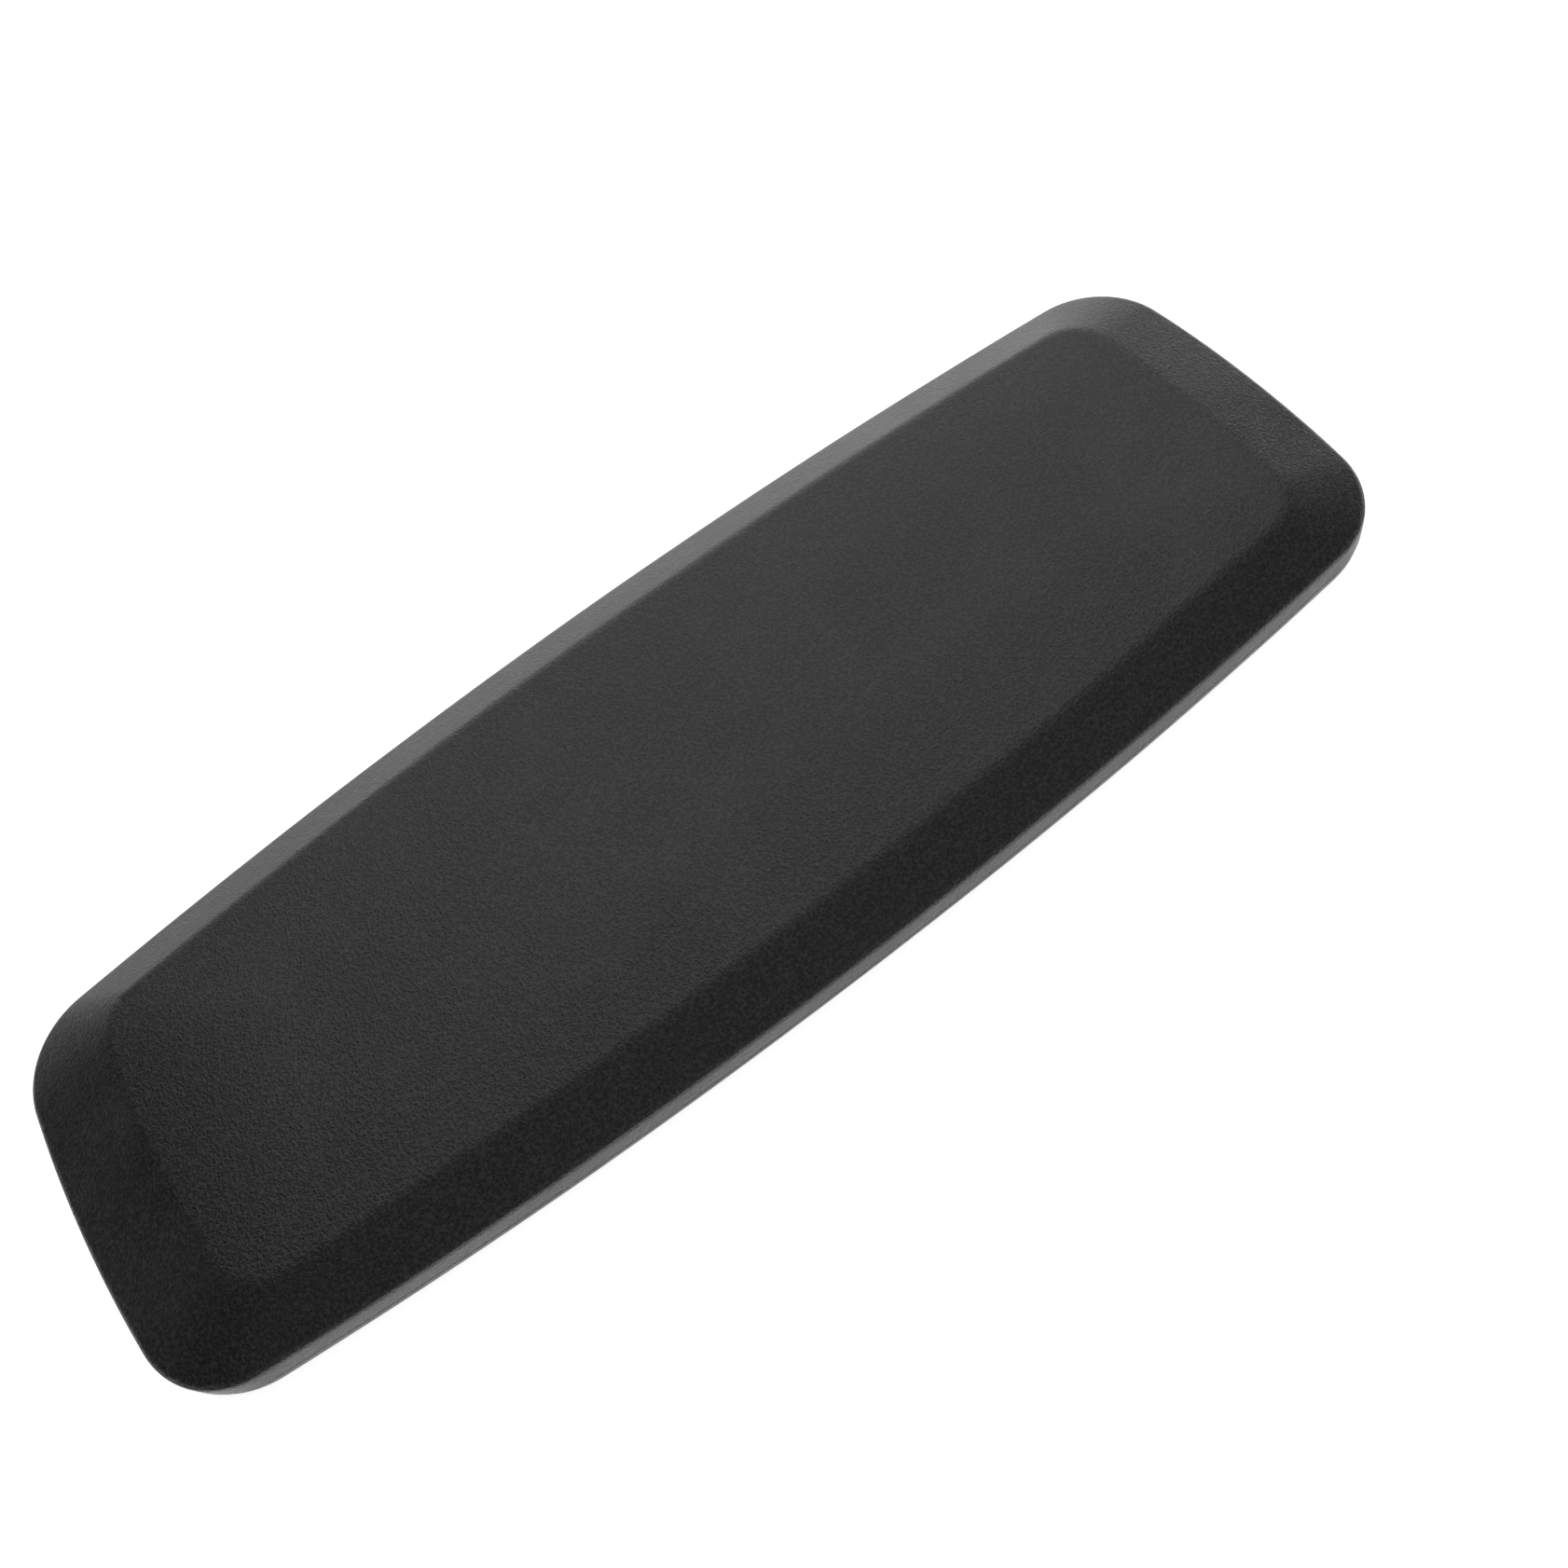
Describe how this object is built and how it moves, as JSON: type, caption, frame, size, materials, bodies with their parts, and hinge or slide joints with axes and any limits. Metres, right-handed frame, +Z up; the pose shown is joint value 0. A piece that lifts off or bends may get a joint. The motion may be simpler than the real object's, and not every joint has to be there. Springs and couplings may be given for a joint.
{
  "type": "chair armrest pad",
  "caption": "Moulded foam armrest pad with a bevelled top and bowed sides, on a hidden plate whose recessed underside holds threaded inserts for the chair arm's bracket",
  "frame": {"origin": "centre of the underside, on the surface that the pad rests on", "axes": "+X along the pad to the end with the shorter bevel, +Y across the pad, +Z up through the top face"},
  "size_m": [0.25, 0.089, 0.015],
  "materials": {
    "foam_skin": "fine leather grain moulded into a dense satin black polyurethane skin",
    "foam_core": "fine closed-cell black polyurethane foam, not seen from outside",
    "plate_plastic": "dark grey glass-filled plastic with faint flow marks",
    "insert_metal": "bright zinc-plated steel with turned faces"
  },
  "bodies": {
    "root": {"pad_skin": "foam_skin", "foam_core": "foam_core", "base_plate": "plate_plastic", "front_insert": "insert_metal", "rear_insert": "insert_metal"}
  },
  "joints": []
}
